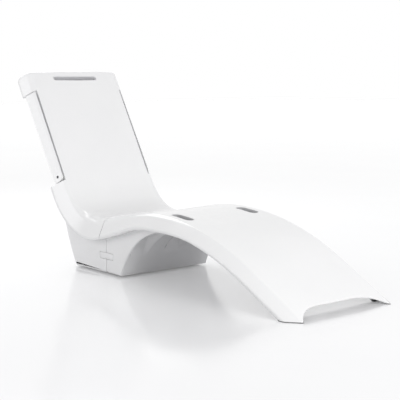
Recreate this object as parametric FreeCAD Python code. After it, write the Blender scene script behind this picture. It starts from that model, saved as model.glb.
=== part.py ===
import FreeCAD, Part
import math
import os

V = FreeCAD.Vector
os.makedirs("parts", exist_ok=True)

# Driving dimensions: millimetres and degrees

# Side line of the body, measured from the top of the knee crest
crest_height = 317.0
crest_rear_radius = 900.0
crest_front_radius = 1310.0
seat_angle = 10.5
leg_angle = 29.0
back_angle = 59.7
seat_reach = 585.0
valley_radius = 262.0
back_length = 833.0

# Depth of the side bands, square to the side line
head_depth = 79.0
back_foot_depth = 84.0
seat_depth = 100.0
crest_depth = 70.0
leg_depth = 52.0
foot_depth = 41.0

# Cross-section of the body
rim_half = 293.5
rim_edge = 14.0
back_ridge_half = 262.0
leg_ridge_half = 249.0
head_shoulder = 40.0
back_shoulder = 14.0
seat_shoulder = 60.0
leg_shoulder = 16.0
seat_dish = 14.0
plain_dish = 3.0
skin = 6.0
lip_inner_half = 234.0

# Head end and foot end
head_crown = 9.0
head_corner = 12.0
foot_scoop_reach = 838.0
foot_tip_reach = 907.0
foot_tip_half = 246.0
floor_spare = 60.0
scoop_shares = [(1.0, 1.0), (0.88, 0.62), (0.75, 0.27), (0.52, 0.06), (0.25, 0.01)]
glide_height = 3.0

# Base tub
base_half = 254.0
base_gap = 8.0
base_wall = 6.0
base_heel_reach = 634.0
base_waist_reach = 708.0
base_waist_height = 166.0
base_top_reach = 768.0
base_top_height = 385.0
base_corner = 35.0
arch_radius = 350.0
arch_top = 241.0
arch_reach = 90.0
flute_start = 102.0
flute_middle_height = 170.0
flute_middle_reach = 165.0
flute_top_reach = 120.0
flute_inner_half = 45.0
flute_outer_from = 153.0
flute_outer_to = 242.0
pan_thickness = 6.0
flange_width = 15.0
flange_margin = 20.0
rim_screw_shares = (0.04, 0.3, 0.56, 0.82, 0.96)
post_radius = 8.0
post_height = 26.0

# Seam between the rear and the front half
seam_reach = 353.0
gasket_thickness = 2.0
bulkhead_thickness = 8.0
bulkhead_half = 222.0
bolt_shares = ((0.86, 0.25), (0.86, 0.62), (0.4, 0.9))
cover_length = 105.0
cover_height = 30.0
cover_thickness = 3.0
cover_centre_height = 86.0
tie_length = 140.0
tie_height = 36.0
tie_thickness = 4.0
tie_screw_shares = (-0.3, -0.16, 0.16, 0.3)
cover_stud_shares = (-0.42, 0.42)

# Armrests and their hinges
arm_top = 121.0
arm_foot = 610.0
arm_inner = 258.0
arm_top_depth = 57.0
arm_foot_depth = 47.0
arm_corner = 4.0
pivot_rise = 25.0
pivot_depth = 25.6
arm_swing = 98.0
notch_wall = 249.0
notch_gap = 4.5
notch_foot_gap = 4.5
notch_bevel_from = 58.0
notch_bevel_half = 222.0
pin_radius = 5.0
pin_head_radius = 6.5
pin_head_height = 2.6
bush_radius = 7.0
running_gap = 0.05
washer_radius = 11.0
hinge_plate_thickness = 5.0
hinge_plate_length = 84.0
hinge_plate_from = 12.0
hinge_plate_depth = 45.0
hinge_screw_shares = ((-0.38, 0.15), (-0.38, 0.85), (0.38, 0.15), (0.38, 0.85))
hinge_nut_radius = 9.0
hinge_nut_height = 6.0
stop_from = 3.0
stop_to = 24.0
stop_half_from = 252.0
stop_half_to = 268.0
peg_radius = 5.0
peg_reach = 262.0
peg_setback = 60.0

# Inserts and panels
slot_half_length = 130.0
slot_half_height = 11.0
slot_from_top = 47.0
slot_liner_wall = 2.5
cover_skin = 5.0
back_opening_half = 200.0
back_cover_half = 216.0
back_opening_top = 66.0
back_opening_foot = 590.0
back_cover_top = 20.0
back_cover_foot = 600.0
cover_screw_shares = (0.06, 0.27, 0.5, 0.73, 0.97)
liner_skin = 4.0
liner_half = 272.0
liner_tray_depth = 22.0
liner_rear_margin = 5.6
liner_front_margin = 118.0
liner_screw_shares = (0.04, 0.27, 0.5, 0.73, 0.96)
tray_margin = 40.0
cup_from_crest = 127.0
cup_half_spacing = 186.0
cup_length = 128.0
cup_width = 48.0
cup_depth = 26.0
cup_wall = 2.5

# Feet and fasteners
foot_radius = 22.0
foot_inset = 62.0
screw_radius = 2.5
screw_head_radius = 5.0
screw_head_height = 2.5
bolt_radius = 4.0
bolt_head_radius = 6.5
bolt_head_height = 5.0
nut_height = 6.0

# Small working allowances
fit_gap = 0.3
panel_gap = 0.4
overrun = 20.0
sample_step = 45.0
station_step = 90.0
diagonal_share = math.sqrt(0.5)


def rad(angle):
    return math.radians(angle)


# Side line: a chain of straight runs and arcs, from the head end to the floor

rear_end_x = -crest_rear_radius * math.sin(rad(seat_angle))
rear_end_z = crest_height - crest_rear_radius * (1 - math.cos(rad(seat_angle)))
meet_z = rear_end_z - (seat_reach + rear_end_x) * math.tan(rad(seat_angle))
valley_turn = rad(back_angle + seat_angle)
valley_tangent = valley_radius * math.tan(valley_turn / 2)
back_run = back_length - valley_tangent
seat_run = (seat_reach + rear_end_x) / math.cos(rad(seat_angle)) - valley_tangent
front_end_z = crest_height - crest_front_radius * (1 - math.cos(rad(leg_angle)))
leg_run = front_end_z / math.sin(rad(leg_angle)) + floor_spare

runs = [
    (back_run, 0.0),
    (valley_radius * valley_turn, valley_turn),
    (seat_run, 0.0),
    (crest_rear_radius * rad(seat_angle), -rad(seat_angle)),
    (crest_front_radius * rad(leg_angle), -rad(leg_angle)),
    (leg_run, 0.0),
]
run_ends = [sum(length for length, turn in runs[:i + 1]) for i in range(len(runs))]
at_back_foot, at_seat, at_crest_rear, at_crest, at_leg, at_end = run_ends
head_x = -seat_reach - back_length * math.cos(rad(back_angle))
head_z = meet_z + back_length * math.sin(rad(back_angle))


def side_line(along):
    """Point and heading on the side line at a distance from the head end."""
    x, z, heading = head_x, head_z, -rad(back_angle)
    left = along
    for length, turn in runs:
        step = left if length is leg_run else min(left, length)
        if turn:
            radius = length / turn
            swept = step / radius
            x += radius * (math.sin(heading + swept) - math.sin(heading))
            z += radius * (math.cos(heading) - math.cos(heading + swept))
            heading += swept
        else:
            x += step * math.cos(heading)
            z += step * math.sin(heading)
        left -= step
        if left <= 0:
            break
    return x, z, heading


def frame_at(along):
    """Local frame: X down the side line, Y across, Z out of the surface."""
    x, z, heading = side_line(along)
    return FreeCAD.Placement(V(x, 0, z), FreeCAD.Rotation(V(0, 1, 0), -math.degrees(heading)))


def body_point(along, y, depth):
    return frame_at(along).multVec(V(0, y, -depth))


def eased(along, knots):
    """Value that passes smoothly through named values at named places."""
    for (start, low), (end, high) in zip(knots, knots[1:]):
        if along <= end:
            share = max((along - start) / (end - start), 0)
            return low + (high - low) * share * share * (3 - 2 * share)
    return knots[-1][1]


half_front_crest = at_crest + (at_leg - at_crest) / 2


def depth_at(along):
    return eased(along, [(0, head_depth), (at_back_foot, back_foot_depth), (at_seat, seat_depth),
                         (at_crest, crest_depth), (half_front_crest, leg_depth), (at_end, foot_depth)])


def shoulder_at(along):
    return eased(along, [(0, head_shoulder), (at_back_foot, back_shoulder), (at_seat, seat_shoulder),
                         (at_crest, 2 * leg_shoulder), (half_front_crest, leg_shoulder), (at_end, leg_shoulder)])


def ridge_at(along):
    return eased(along, [(0, back_ridge_half), (at_back_foot, back_ridge_half), (at_crest, leg_ridge_half)])


def dish_at(along):
    return eased(along, [(0, plain_dish), (at_back_foot / 2, plain_dish), (at_seat, seat_dish),
                         (at_crest, plain_dish), (at_end, plain_dish)])


# Solids along the side line


def body_section(along, inset):
    """Closed section wire of the body: dished top, rounded shoulders, slanted bands."""
    depth = depth_at(along) - inset
    ridge = ridge_at(along)
    slant = math.atan2(rim_half - ridge, depth_at(along) - rim_edge)
    outward = V(math.cos(slant), math.sin(slant), 0)
    radius = shoulder_at(along)
    reach = radius * math.tan((math.pi / 2 - slant) / 2)
    centre = V(ridge - reach, -radius, 0)
    arc_radius = radius - inset
    middle = (outward + V(0, 1, 0)).normalize()
    top = centre + V(0, arc_radius, 0)
    mid = centre + middle * arc_radius
    low = centre + outward * arc_radius
    side = rim_half - inset
    edge = V(side, -(depth_at(along) - rim_edge) + inset * math.tan(slant / 2), 0)
    foot = V(side, -depth, 0)
    dish = V(0, top.y - dish_at(along), 0)

    def mirrored(p):
        return V(-p.x, p.y, 0)

    edges = [
        Part.Arc(mirrored(top), dish, top).toShape(),
        Part.Arc(top, mid, low).toShape(),
        Part.makeLine(low, edge),
        Part.makeLine(edge, foot),
        Part.makeLine(foot, mirrored(foot)),
        Part.makeLine(mirrored(foot), mirrored(edge)),
        Part.makeLine(mirrored(edge), mirrored(low)),
        Part.Arc(mirrored(low), mirrored(mid), mirrored(top)).toShape(),
    ]
    wire = Part.Wire(edges)
    # Section plane: its x runs across the body, its y out of the surface
    turn = FreeCAD.Rotation(V(0, 1, 0), V(0, 0, 1), V(-1, 0, 0), "XYZ")
    wire.transformShape(FreeCAD.Placement(V(0, 0, 0), turn).toMatrix())
    wire.transformShape(frame_at(along).toMatrix())
    return wire


def stations():
    count = round(at_end / station_step)
    return [at_end * i / count for i in range(count + 1)]


def head_trim(inset):
    """Keeps what lies below the crowned head edge with its rounded corners."""
    half = rim_half - inset
    corner = head_corner - inset
    drop = head_crown + inset
    far = at_back_foot
    points = [V(far, -half, 0), V(drop + corner, -half, 0), V(drop, corner - half, 0), V(inset, 0, 0),
              V(drop, half - corner, 0), V(drop + corner, half, 0), V(far, half, 0)]
    slide = corner * (1 - diagonal_share)
    left_mid = V(drop + slide, slide - half, 0)
    right_mid = V(drop + slide, half - slide, 0)
    wire = Part.Wire([
        Part.makeLine(points[0], points[1]),
        Part.Arc(points[1], left_mid, points[2]).toShape(),
        Part.Arc(points[2], points[3], points[4]).toShape(),
        Part.Arc(points[4], right_mid, points[5]).toShape(),
        Part.makeLine(points[5], points[6]),
        Part.makeLine(points[6], points[0]),
    ])
    wire.translate(V(0, 0, -2 * head_depth))
    solid = Part.Face(wire).extrude(V(0, 0, 3 * head_depth))
    solid.transformShape(frame_at(0).toMatrix())
    rest = block(0, far, 6 * seat_reach, -2 * rim_half, 2 * rim_half, -4 * seat_reach, 2 * seat_reach)
    return solid.fuse(rest)


def block(place, start, end, left, right, top, bottom):
    """Box in the local frame at a place: along, across and into the body."""
    box = Part.makeBox(end - start, right - left, bottom - top, V(start, left, -bottom))
    box.transformShape(frame_at(place).toMatrix())
    return box


def barrel(place, along, depth, left, right, radius):
    """Round bar across the body."""
    bar = Part.makeCylinder(radius, right - left, V(along, left, -depth), V(0, 1, 0))
    bar.transformShape(frame_at(place).toMatrix())
    return bar


def band(start, end, upper, lower, left, right):
    """Slab between two depths that follow the side line."""
    count = max(round((end - start) / sample_step), 4)
    places = [start + (end - start) * i / count for i in range(count + 1)]
    top = Part.BSplineCurve()
    top.interpolate([body_point(p, left, upper(p)) for p in places])
    bottom = Part.BSplineCurve()
    bottom.interpolate([body_point(p, left, lower(p)) for p in reversed(places)])
    ends = [top.StartPoint, top.EndPoint, bottom.StartPoint, bottom.EndPoint]
    wire = Part.Wire([top.toShape(), Part.makeLine(ends[1], ends[2]), bottom.toShape(),
                      Part.makeLine(ends[3], ends[0])])
    return Part.Face(wire).extrude(V(0, right - left, 0))


def body_solid(inset):
    sections = [body_section(place, inset) for place in stations()]
    loft = Part.makeLoft(sections, True, False)
    return loft.common(head_trim(inset))


def notch(side, inset):
    """Recess of one armrest: straight wall, bevelled towards the rear."""
    wall = notch_wall - inset
    bevel = notch_bevel_half - inset
    deep = head_depth + overrun
    start = arm_top - notch_gap - inset
    end = arm_foot + notch_foot_gap + inset
    wide = rim_half + overrun
    points = [V(start, wall, overrun), V(start, wall, -notch_bevel_from), V(start, bevel, -deep),
              V(start, wide, -deep), V(start, wide, overrun)]
    face = Part.Face(Part.makePolygon(points + points[:1]))
    solid = face.extrude(V(end - start, 0, 0))
    solid.transformShape(frame_at(0).toMatrix())
    return solid if side > 0 else mirrored_y(solid)


def mirrored_y(shape):
    return shape.mirror(V(0, 0, 0), V(0, 1, 0))


def foot_scoop():
    """Cuts the hollow end line of the leg rest, tip to tip."""
    run = foot_tip_reach - foot_scoop_reach
    right = [V(foot_scoop_reach + run * x, foot_tip_half * y, 0) for y, x in scoop_shares]
    left = [V(p.x, -p.y, 0) for p in reversed(right)]
    curve = Part.BSplineCurve()
    curve.interpolate(right + [V(foot_scoop_reach, 0, 0)] + left)
    far = foot_tip_reach + 10 * overrun
    wide = rim_half + overrun
    corners = [left[-1], V(foot_tip_reach, -wide, 0), V(far, -wide, 0), V(far, wide, 0),
               V(foot_tip_reach, wide, 0), right[0]]
    lines = [Part.makeLine(a, b) for a, b in zip(corners, corners[1:])]
    wire = Part.Wire([curve.toShape()] + lines)
    wire.translate(V(0, 0, -crest_height))
    return Part.Face(wire).extrude(V(0, 0, 2 * crest_height))


def below(height):
    size = 4 * seat_reach
    return Part.makeBox(size, size, size, V(-size / 2, -size / 2, height - size))


def behind(reach):
    size = 4 * seat_reach
    return Part.makeBox(size, size, size, V(-reach - size, -size / 2, -size / 2))


def ahead(reach):
    size = 4 * seat_reach
    return Part.makeBox(size, size, size, V(-reach, -size / 2, -size / 2))


def slab(rear_reach, front_reach):
    return ahead(rear_reach).common(behind(front_reach))


def both(tools):
    """The tools together with their mirror images."""
    return tools + [mirrored_y(tool) for tool in tools]


def pair(maker):
    """The left-hand (+Y) piece and its mirror image."""
    piece = maker()
    return piece, mirrored_y(piece)


def oblong(place, along, y, half_length, half_width, top, bottom, crossways):
    """Round-ended bar that goes straight into the body, long side across or along."""
    straight = half_length - half_width
    wide = V(0, straight, 0) if crossways else V(straight, 0, 0)
    core = (half_width, straight) if crossways else (straight, half_width)
    centre = V(along, y, -bottom)
    shape = Part.makeBox(2 * core[0], 2 * core[1], bottom - top, centre - V(core[0], core[1], 0))
    for end in (wide, wide * -1):
        shape = shape.fuse(Part.makeCylinder(half_width, bottom - top, centre + end))
    shape = shape.removeSplitter()
    shape.transformShape(frame_at(place).toMatrix())
    return shape


def screw_up(along, y, head_depth_at, length):
    """Screw driven from below or behind, its head's underside at the given depth."""
    head = Part.makeCylinder(screw_head_radius, screw_head_height, V(0, y, -head_depth_at - screw_head_height))
    shank = Part.makeCylinder(screw_radius, length, V(0, y, -head_depth_at))
    screw = head.fuse(shank)
    screw.transformShape(frame_at(along).toMatrix())
    return screw


def group(solids):
    return Part.makeCompound(solids)


# Body skin: one closed envelope, hollowed, opened below, notched and trimmed

envelope = body_solid(0)
cavity = body_solid(skin).cut([notch(side, skin) for side in (1, -1)])
back_opening = block(0, back_opening_top, back_opening_foot, -back_opening_half, back_opening_half,
                     head_depth - 2 * skin, head_depth + overrun)
base_opening = band(at_back_foot + skin, at_end, lambda p: depth_at(p) - 2 * skin,
                    lambda p: depth_at(p) + overrun, -lip_inner_half, lip_inner_half)
notches = [notch(side, 0) for side in (1, -1)]
body = envelope.cut(notches + [cavity, back_opening, base_opening, foot_scoop()])
glides = body.common(below(glide_height)).cut(below(0)).common(ahead(0))
body_tools = [below(glide_height)]

# Base tub: side walls, heel wall and the arched front wall with its flutes

arch_centre_z = arch_top - arch_radius
base_rear_along = (head_z - base_top_height - back_foot_depth * math.cos(rad(back_angle))) / math.sin(rad(back_angle))


def arch_x(z, radius):
    return arch_reach - math.sqrt(radius ** 2 - (z - arch_centre_z) ** 2)


def base_solid(inset):
    low = base_gap - (overrun if inset else 0)
    radius = arch_radius + inset
    half = base_half - inset
    heel = V(inset - base_heel_reach, -half, low)
    waist = V(inset - base_waist_reach, -half, base_waist_height)
    top = V(inset - base_top_reach, -half, base_top_height)
    nose_along = at_crest + arch_reach - inset
    count = round((nose_along - base_rear_along) / station_step)
    places = [base_rear_along + (nose_along - base_rear_along) * i / count for i in range(count + 1)]
    upper = Part.BSplineCurve()
    upper.interpolate([body_point(p, -half, depth_at(p) / 2) for p in places])
    nose = V(arch_reach - inset, -half, arch_centre_z + math.sqrt(radius ** 2 - inset ** 2))
    arch_foot = V(arch_x(low, radius), -half, low)
    middle_z = (nose.z + low) / 2
    arch_middle = V(arch_x(middle_z, radius), -half, middle_z)
    wire = Part.Wire([
        Part.Arc(heel, waist, top).toShape(),
        Part.makeLine(top, upper.StartPoint),
        upper.toShape(),
        Part.makeLine(upper.EndPoint, nose),
        Part.Arc(nose, arch_middle, arch_foot).toShape(),
        Part.makeLine(arch_foot, heel),
    ])
    solid = Part.Face(wire).extrude(V(0, 2 * half, 0))
    heel_edges = [e for e in solid.Edges
                  if e.BoundBox.YLength < fit_gap and e.BoundBox.XMax < inset - base_heel_reach + fit_gap
                  and e.BoundBox.ZLength > base_waist_height]
    return solid.makeFillet(base_corner - inset, heel_edges)


def flute(left, right, inset):
    """Hollow in the arched wall: starts above the floor and deepens to a flat roof."""
    roof = arch_top - base_wall + inset
    start = V(arch_x(flute_start, arch_radius) - inset, left - inset, flute_start - inset)
    middle = V(-flute_middle_reach - inset, left - inset, flute_middle_height)
    top = V(-flute_top_reach - inset, left - inset, roof)
    wire = Part.Wire([
        Part.Arc(start, middle, top).toShape(),
        Part.makeLine(top, V(arch_reach, left - inset, roof)),
        Part.makeLine(V(arch_reach, left - inset, roof), V(arch_reach, left - inset, start.z)),
        Part.makeLine(V(arch_reach, left - inset, start.z), start),
    ])
    return Part.Face(wire).extrude(V(0, right - left + 2 * inset, 0))


flute_spans = [(-flute_outer_to, -flute_outer_from), (-flute_inner_half, flute_inner_half),
               (flute_outer_from, flute_outer_to)]
tub = base_solid(0)
tub_void = base_solid(base_wall).cut([flute(left, right, base_wall) for left, right in flute_spans])
walls = tub.cut([flute(left, right, 0) for left, right in flute_spans] + [tub_void, envelope])

# Inner flanges under the rim, and screw posts on the side walls
flange_from = at_back_foot + 2 * base_corner
flange_to = at_crest_rear - flange_margin


def rim_flange():
    strip = band(flange_from, flange_to, depth_at, lambda p: depth_at(p) + base_wall,
                 base_half - base_wall - flange_width, base_half - base_wall / 2)
    return strip.cut(envelope)


post_reaches = [base_heel_reach - 2 * base_corner, seam_reach + 2 * base_corner, seam_reach - 2 * base_corner]
post_half = base_half - base_wall - post_radius / 2
pan_top = base_gap + pan_thickness
posts = [Part.makeCylinder(post_radius, post_height, V(-reach, post_half, pan_top)) for reach in post_reaches]
walls = walls.fuse(both([rim_flange()] + [post.common(tub) for post in posts]))
rim_screws = []
for share in rim_screw_shares:
    place = flange_from + (flange_to - flange_from) * share
    rim_screws.append(screw_up(place, base_half - base_wall - flange_width / 2, depth_at(place) + base_wall,
                               base_wall + skin + screw_radius))
rim_screws = both(rim_screws)

# Floor panels with their screws, and the feet


def pan(keep):
    plate = base_solid(base_wall + fit_gap).common(below(pan_top)).cut(below(base_gap))
    return plate.common(keep)


gasket_half = gasket_thickness / 2
rear_side = behind(seam_reach + gasket_half)
front_side = ahead(seam_reach - gasket_half)
rear_pan = pan(rear_side)
front_pan = pan(front_side)
pan_screws = []
for reach in post_reaches:
    at = V(-reach, post_half - screw_radius, base_gap)
    head = Part.makeCylinder(screw_head_radius, screw_head_height, at - V(0, 0, screw_head_height))
    pan_screws.append(head.fuse(Part.makeCylinder(screw_radius, pan_thickness + post_height / 2, at)))
pan_screws = both(pan_screws)
front_foot_reach = -arch_x(base_gap, arch_radius) + foot_inset
foot_half = base_half - foot_inset
feet = []
foot_screws = []
for reach in (base_heel_reach - foot_inset, front_foot_reach):
    for y in (-foot_half, foot_half):
        foot = Part.makeCone(foot_radius - screw_radius, foot_radius, base_gap, V(-reach, y, 0))
        head = Part.makeCylinder(screw_head_radius, screw_head_height, V(-reach, y, screw_head_height))
        shank = Part.makeCylinder(screw_radius, pan_top, V(-reach, y, 2 * screw_head_height))
        recess = Part.makeCylinder(screw_head_radius, 2 * screw_head_height, V(-reach, y, 0))
        feet.append(foot.cut([recess, shank]))
        foot_screws.append(head.fuse(shank))
rear_pan = rear_pan.cut(pan_screws + foot_screws)
front_pan = front_pan.cut(pan_screws + foot_screws)

# Seam: bulkheads, gasket, bolts, tie plates and flush covers

seat_foot_reach = seat_reach - valley_tangent * math.cos(rad(seat_angle))
seam_along = at_seat + (seat_foot_reach - seam_reach) / math.cos(rad(seat_angle))
seam_top = body_point(seam_along, 0, depth_at(seam_along) - 3 * skin).z


def inner_plate(keep):
    """Slice through the hollow of the body and of the base."""
    outline = Part.makeBox(2 * seat_reach, 2 * bulkhead_half, seam_top - pan_top,
                           V(-2 * seat_reach, -bulkhead_half, pan_top))
    return cavity.common(keep).fuse(outline.common(keep)).removeSplitter()


rear_bulkhead = inner_plate(slab(seam_reach + gasket_half + bulkhead_thickness, seam_reach + gasket_half))
front_bulkhead = inner_plate(slab(seam_reach - gasket_half, seam_reach - gasket_half - bulkhead_thickness))
seam_slab = slab(seam_reach + gasket_half, seam_reach - gasket_half)
gasket = body.common(seam_slab).fuse([walls.common(seam_slab), inner_plate(seam_slab)]).removeSplitter()
seam_bolts = []
seam_nuts = []
bolt_start = -seam_reach - gasket_half - bulkhead_thickness
bolt_grip = 2 * bulkhead_thickness + gasket_thickness
lengthwise = V(1, 0, 0)
shanks = []
for across_share, up_share in bolt_shares:
    for side in (1, -1):
        at = V(bolt_start, side * bulkhead_half * across_share, seam_top * up_share)
        head = Part.makeCylinder(bolt_head_radius, bolt_head_height, at - lengthwise * bolt_head_height, lengthwise)
        shank = Part.makeCylinder(bolt_radius, bolt_grip + nut_height, at, lengthwise)
        nut = Part.makeCylinder(bolt_head_radius, nut_height, at + lengthwise * bolt_grip, lengthwise)
        shanks.append(shank)
        seam_bolts.append(head.fuse(shank))
        seam_nuts.append(nut.cut(shank))
rear_bulkhead = rear_bulkhead.cut(shanks)
front_bulkhead = front_bulkhead.cut(shanks)


def side_plate(length, height, inner, outer):
    return Part.makeBox(length, outer - inner, height,
                        V(-seam_reach - length / 2, inner, cover_centre_height - height / 2))


cover_inner = base_half - cover_thickness
wall_inner = base_half - base_wall
edge_gap = 2 * fit_gap
pocket = side_plate(cover_length + 2 * edge_gap, cover_height + 2 * edge_gap, cover_inner, base_half + overrun)
tie = side_plate(tie_length, tie_height, wall_inner - tie_thickness, wall_inner)
cover = side_plate(cover_length, cover_height, cover_inner, base_half)
tie_screws = []
for share in tie_screw_shares:
    start = V(-seam_reach + cover_length * share, cover_inner, cover_centre_height)
    head = Part.makeCylinder(screw_head_radius, cover_thickness / 2, start, V(0, -1, 0))
    shank = Part.makeCylinder(screw_radius, 3 * tie_thickness, start - V(0, cover_thickness / 2, 0), V(0, -1, 0))
    tie_screws.append(head.fuse(shank))
for share in cover_stud_shares:
    start = V(-seam_reach + cover_length * share, wall_inner, cover_centre_height)
    cover = cover.fuse(Part.makeCylinder(screw_radius, cover_thickness, start, V(0, 1, 0)))
tie = tie.cut(tie_screws)
seam_tools = both([pocket, cover] + tie_screws)
walls = walls.cut(seam_tools + rim_screws + pan_screws)
gasket = gasket.cut(seam_tools + shanks)

# Backrest: hand slot sleeve and rear cover

slot_outer = (slot_half_length + slot_liner_wall, slot_half_height + slot_liner_wall)
slot_back = depth_at(slot_from_top) + panel_gap + cover_skin
slot_front_plug = oblong(0, slot_from_top, 0, slot_outer[0], slot_outer[1], -overrun, skin + overrun, True)
slot_rear_plug = oblong(0, slot_from_top, 0, slot_outer[0], slot_outer[1], skin + overrun, slot_back, True)
slot_plug = slot_front_plug.fuse(slot_rear_plug).removeSplitter()
slot_hole = oblong(0, slot_from_top, 0, slot_half_length, slot_half_height, -overrun, slot_back + overrun, True)
back_cover = band(back_cover_top, back_cover_foot, lambda p: depth_at(p) + panel_gap,
                  lambda p: depth_at(p) + panel_gap + cover_skin, -back_cover_half, back_cover_half)
slot_liner = slot_front_plug.common(envelope).fuse(slot_rear_plug).removeSplitter().cut(slot_hole)
cover_screws = []
cover_screw_half = (back_opening_half + back_cover_half) / 2
for share in cover_screw_shares:
    place = back_cover_top + (back_cover_foot - back_cover_top) * share
    cover_screws.append(screw_up(place, cover_screw_half, depth_at(place) + panel_gap + cover_skin,
                                 cover_skin + skin + screw_radius))
cover_screws = both(cover_screws)
cover_slot = oblong(0, slot_from_top, 0, slot_outer[0], slot_outer[1], 0, slot_back + overrun, True)
back_cover = back_cover.cut([cover_slot] + cover_screws)
body_tools += [slot_plug] + cover_screws + rim_screws

# Leg rest: fluted underside panel and grip cups

liner_from = at_crest + arch_reach + liner_rear_margin
liner_to = at_end - floor_spare - liner_front_margin
leg_liner = band(liner_from, liner_to, lambda p: depth_at(p) + panel_gap,
                 lambda p: depth_at(p) + panel_gap + liner_skin, -liner_half, liner_half)
tray_edge = lip_inner_half - 2 * liner_skin
tray_spans = [(-tray_edge, -flute_outer_from), (-flute_inner_half, flute_inner_half), (flute_outer_from, tray_edge)]
tray_from = liner_from + tray_margin
tray_to = liner_to - tray_margin
tray_shells = []
tray_hollows = []
for left, right in tray_spans:
    tray_shells.append(band(tray_from, tray_to, lambda p: depth_at(p) - liner_tray_depth - liner_skin,
                            lambda p: depth_at(p) + liner_skin / 2, left - liner_skin, right + liner_skin))
    tray_hollows.append(band(tray_from + liner_skin, tray_to - liner_skin, lambda p: depth_at(p) - liner_tray_depth,
                             lambda p: depth_at(p) + 2 * liner_skin, left, right))
liner_screws = []
liner_screw_half = (lip_inner_half + liner_half) / 2
for share in liner_screw_shares:
    place = liner_from + (liner_to - liner_from) * share
    liner_screws.append(screw_up(place, liner_screw_half, depth_at(place) + panel_gap + liner_skin,
                                 liner_skin + skin + screw_radius))
liner_screws = both(liner_screws)
leg_liner = leg_liner.fuse(tray_shells).cut(tray_hollows + liner_screws)

cup_place = at_crest + cup_from_crest


def grip_plug(inset, top, bottom):
    return oblong(cup_place, 0, cup_half_spacing, cup_length / 2 - inset, cup_width / 2 - inset, top, bottom, False)


cup = grip_plug(0, -overrun, cup_depth).common(envelope)
cup = cup.cut(grip_plug(cup_wall, -2 * overrun, cup_depth - cup_wall))
body_tools += both([grip_plug(0, -overrun, cup_depth)]) + liner_screws

# Armrests with their hinges and stops

pivot_along = arm_foot - pivot_rise


def arm_profile():
    """Wedge seen from the side, with a round lower front corner about the pivot."""
    front = pivot_depth - pivot_rise
    slide = pivot_rise * diagonal_share
    turn_mid = V(pivot_along + slide, 0, slide - pivot_depth)
    points = [V(arm_top, 0, -front), V(pivot_along, 0, -front), V(arm_foot, 0, -pivot_depth),
              V(arm_foot, 0, -(arm_foot_depth - arm_corner)), V(arm_foot - arm_corner, 0, -arm_foot_depth),
              V(arm_top + arm_corner, 0, -arm_top_depth), V(arm_top, 0, -(arm_top_depth - arm_corner))]
    wire = Part.Wire([Part.makeLine(points[0], points[1]), Part.Arc(points[1], turn_mid, points[2]).toShape()]
                     + [Part.makeLine(a, b) for a, b in zip(points[2:], points[3:] + points[:1])])
    return Part.Face(wire)


def arm():
    bar = arm_profile().extrude(V(0, rim_half, 0))
    bar.translate(V(0, arm_inner, 0))
    bar.transformShape(frame_at(0).toMatrix())
    hole = barrel(0, pivot_along, pivot_depth, 0, 2 * rim_half, bush_radius)
    return bar.common(envelope).cut(hole)


band_half_at_pivot = back_ridge_half + (rim_half - back_ridge_half) * pivot_depth / (depth_at(pivot_along) - rim_edge)
pin_tip = band_half_at_pivot - fit_gap
head_seat = pin_tip - pin_head_height
wall_back = notch_wall - skin
plate_back = wall_back - hinge_plate_thickness
nut_back = plate_back - hinge_nut_height


def hinge_bar(left, right, radius):
    return barrel(0, pivot_along, pivot_depth, left, right, radius)


def hinge_pin():
    return hinge_bar(nut_back, head_seat, pin_radius).fuse(hinge_bar(head_seat, pin_tip, pin_head_radius))


def arm_bush():
    bore = hinge_bar(0, 2 * rim_half, pin_radius + running_gap)
    return hinge_bar(arm_inner, head_seat - fit_gap, bush_radius).cut(bore)


def thrust_washer():
    return hinge_bar(notch_wall, arm_inner - fit_gap, washer_radius).cut(hinge_pin())


def hinge_nut():
    return hinge_bar(nut_back, plate_back, hinge_nut_radius).cut(hinge_pin())


hinge_screws = []
for along_share, depth_share in hinge_screw_shares:
    along = pivot_along + hinge_plate_length * along_share
    depth = hinge_plate_from + hinge_plate_depth * depth_share
    head = barrel(0, along, depth, plate_back - screw_head_height, plate_back, screw_head_radius)
    hinge_screws.append(head.fuse(barrel(0, along, depth, plate_back, notch_wall - skin / 3, screw_radius)))


def hinge_plate():
    plate = block(0, pivot_along - hinge_plate_length / 2, pivot_along + hinge_plate_length / 2,
                  plate_back, wall_back, hinge_plate_from, hinge_plate_from + hinge_plate_depth)
    return plate.cut([hinge_pin()] + hinge_screws)


def arm_stop():
    """Rubber wedge on the notch's foot, in the plane of the lowered arm's underside."""
    foot = arm_foot + notch_foot_gap
    reach = pivot_rise + fit_gap

    def plane_along(depth):
        return pivot_along + (reach + math.cos(rad(arm_swing)) * (depth - pivot_depth)) / math.sin(rad(arm_swing))

    points = [V(foot, stop_half_from, -stop_from), V(foot, stop_half_from, -stop_to),
              V(plane_along(stop_to), stop_half_from, -stop_to),
              V(plane_along(stop_from), stop_half_from, -stop_from)]
    wedge = Part.Face(Part.makePolygon(points + points[:1])).extrude(V(0, stop_half_to - stop_half_from, 0))
    wedge.transformShape(frame_at(0).toMatrix())
    return wedge.common(envelope)


def rest_peg():
    share = peg_setback / (arm_foot - arm_top)
    edge = arm_top_depth + (arm_foot_depth - arm_top_depth) * share
    return barrel(0, arm_top + peg_setback, edge + fit_gap + peg_radius, plate_back, peg_reach, peg_radius)


body_tools += both([hinge_pin(), rest_peg()] + hinge_screws)
body = body.cut(body_tools)

# The body and the base tub part at the seam

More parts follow.
